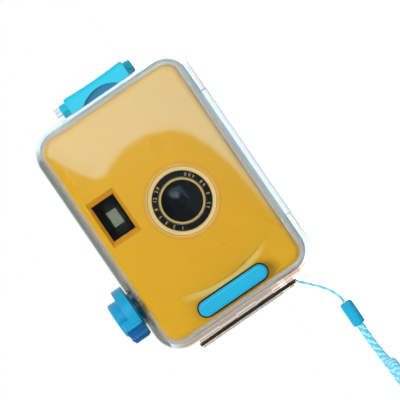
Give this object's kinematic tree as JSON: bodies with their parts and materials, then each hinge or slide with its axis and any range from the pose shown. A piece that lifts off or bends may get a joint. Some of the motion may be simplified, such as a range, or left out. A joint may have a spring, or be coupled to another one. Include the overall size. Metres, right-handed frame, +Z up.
{
  "type": "underwater film camera",
  "caption": "Reusable 35 mm film camera in a hinged clear underwater housing with blue winding knob, trigger, snap latch and braided wrist strap.",
  "frame": {"origin": "on the underside of the housing's foot, under the middle of the housing", "axes": "+X towards the latch, +Y towards the rear door (the lens looks along -Y), +Z up"},
  "size_m": [0.2446, 0.1095, 0.0958],
  "materials": {
    "clear_shell": "clear polycarbonate",
    "blue_plastic": "semi gloss moulded plastic",
    "yellow_plastic": "smooth moulded plastic",
    "black_plastic": "fine textured plastic",
    "black_gloss": "gloss lacquer",
    "gold_trim": "bright",
    "optical_glass": "polished",
    "steel": "bright",
    "clear_silicone": "clear matt silicone",
    "black_rubber": "matt",
    "foam": "closed cell foam",
    "film": "film base",
    "cartridge_steel": "satin",
    "white_plastic": "satin",
    "cord_blue": "braided nylon"
  },
  "bodies": {
    "housing": {"case_front": "clear_shell", "case_seal": "clear_silicone", "hinge_pin": "steel", "knob_seal": "black_rubber", "trigger_boot": "black_rubber", "trigger_springs": "steel", "strap_tie": "cord_blue", "strap_ferrule": "blue_plastic", "wrist_cord": "cord_blue", "camera_cover": "yellow_plastic", "camera_body": "yellow_plastic", "camera_back": "black_plastic", "back_catch": "black_plastic", "cover_screws": "steel", "name_ring": "black_gloss", "trim_ring": "gold_trim", "lens_barrel": "black_plastic", "front_lens": "optical_glass", "rear_lens": "optical_glass", "shutter_plate": "black_plastic", "finder_pane": "optical_glass", "finder_tunnel": "black_plastic", "eyepiece": "optical_glass", "counter_glass": "optical_glass", "film_cartridge": "cartridge_steel", "film_strip": "film", "pressure_plate": "black_plastic", "pressure_spring": "steel", "ratchet_pawl": "steel"},
    "rear_door": {"case_door": "clear_shell", "door_pad": "foam", "latch_pin": "clear_shell"},
    "latch": {"latch_lever": "blue_plastic"},
    "shaft_lift": {"shaft_clip": "steel"},
    "winder": {"winding_knob": "blue_plastic", "knob_shaft": "steel"},
    "trigger": {"trigger_bar": "blue_plastic", "trigger_stems": "steel"},
    "release": {"release_button": "black_plastic", "release_arm": "steel"},
    "shutter": {"shutter_blade": "black_plastic"},
    "take_up": {"take_up_spool": "black_plastic"},
    "sprocket_wheel": {"sprocket": "black_plastic"},
    "counter": {"counter_dial": "white_plastic"},
    "rewind": {"rewind_crank": "black_plastic", "cartridge_spool": "black_plastic"}
  },
  "joints": [
    {"name": "door_swing", "type": "hinge", "parent": "housing", "child": "rear_door", "pos_m": [-0.0633, 0.00905, 0.0425], "axis": [0, 0, 1], "range_deg": [0, 150]},
    {"name": "latch_turn", "type": "hinge", "parent": "rear_door", "child": "latch", "pos_m": [0.0646, 0.016, 0.04195], "axis": [0, 0, 1], "range_deg": [0, 110]},
    {"name": "knob_lift", "type": "slide", "parent": "housing", "child": "shaft_lift", "axis": [0, 0, 1], "range_m": [0, 0.0039]},
    {"name": "knob_turn", "type": "hinge", "parent": "shaft_lift", "child": "winder", "pos_m": [-0.0318, -0.0026, 0.09], "axis": [0, 0, 1], "continuous": true},
    {"name": "trigger_press", "type": "slide", "parent": "housing", "child": "trigger", "axis": [0, 1, 0], "range_m": [0, 0.0015], "stiffness_N_per_m": 1200, "springref_m": -0.0005, "deforming": ["trigger_springs"]},
    {"name": "release_travel", "type": "slide", "parent": "housing", "child": "release", "axis": [0, 1, 0], "range_m": [0, 0.0015]},
    {"name": "shutter_swing", "type": "hinge", "parent": "housing", "child": "shutter", "pos_m": [0.0058, -0.0093, 0.0467], "axis": [0, 1, 0], "range_deg": [0, 30]},
    {"name": "take_up_turn", "type": "hinge", "parent": "housing", "child": "take_up", "pos_m": [-0.0318, -0.0026, 0.04], "axis": [0, 0, 1], "continuous": true},
    {"name": "sprocket_turn", "type": "hinge", "parent": "housing", "child": "sprocket_wheel", "pos_m": [-0.014, 0.0017, 0.055], "axis": [0, 0, 1], "continuous": true},
    {"name": "counter_turn", "type": "hinge", "parent": "housing", "child": "counter", "pos_m": [-0.0105, 0.004, 0.078], "axis": [0, 0, 1], "continuous": true},
    {"name": "rewind_turn", "type": "hinge", "parent": "housing", "child": "rewind", "pos_m": [0.0379, -0.0026, 0.04], "axis": [0, 0, 1], "continuous": true}
  ],
  "couplings": [
    {"joint": "release_travel", "follows": "trigger_press", "ratio": 1},
    {"joint": "shutter_swing", "follows": "trigger_press", "rad_per_m": 349},
    {"joint": "take_up_turn", "follows": "knob_turn", "ratio": 1},
    {"joint": "sprocket_turn", "follows": "knob_turn", "ratio": 1.3},
    {"joint": "counter_turn", "follows": "knob_turn", "ratio": 0.034},
    {"joint": "rewind_turn", "follows": "knob_turn", "ratio": 0.9}
  ]
}
